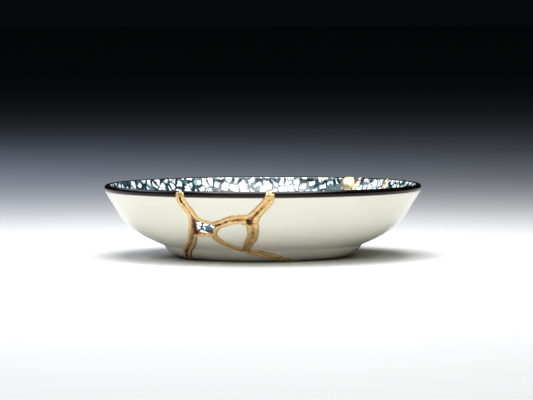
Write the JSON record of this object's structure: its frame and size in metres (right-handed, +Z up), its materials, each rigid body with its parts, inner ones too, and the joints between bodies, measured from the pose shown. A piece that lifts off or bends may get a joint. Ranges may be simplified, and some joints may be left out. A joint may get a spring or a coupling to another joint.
{
  "type": "mended porcelain dish",
  "caption": "Shallow round porcelain dish on a turned foot, broken and mended with raised gold seams, with a small open window where one shard is lost.",
  "frame": {"origin": "on the dish's axis, in the plane of the foot that stands on the table", "axes": "+Z up along the dish's axis; -Y is the front with the open window and the main seams; +X is to the right seen from the front"},
  "size_m": [0.15, 0.1511, 0.0355],
  "materials": {
    "porcelain": "glossy cream glaze outside, blue and white printed pattern under the glaze inside, black enamel on the lip",
    "gold_lacquer": "satin gold powder over lacquer, uneven"
  },
  "bodies": {
    "root": {"shard_left": "porcelain", "shard_right": "porcelain", "shard_front_rim": "porcelain", "shard_teardrop": "porcelain", "shard_front_foot": "porcelain", "shard_back": "porcelain", "gold_seams": "gold_lacquer", "gold_chip_fill": "gold_lacquer"}
  },
  "joints": []
}
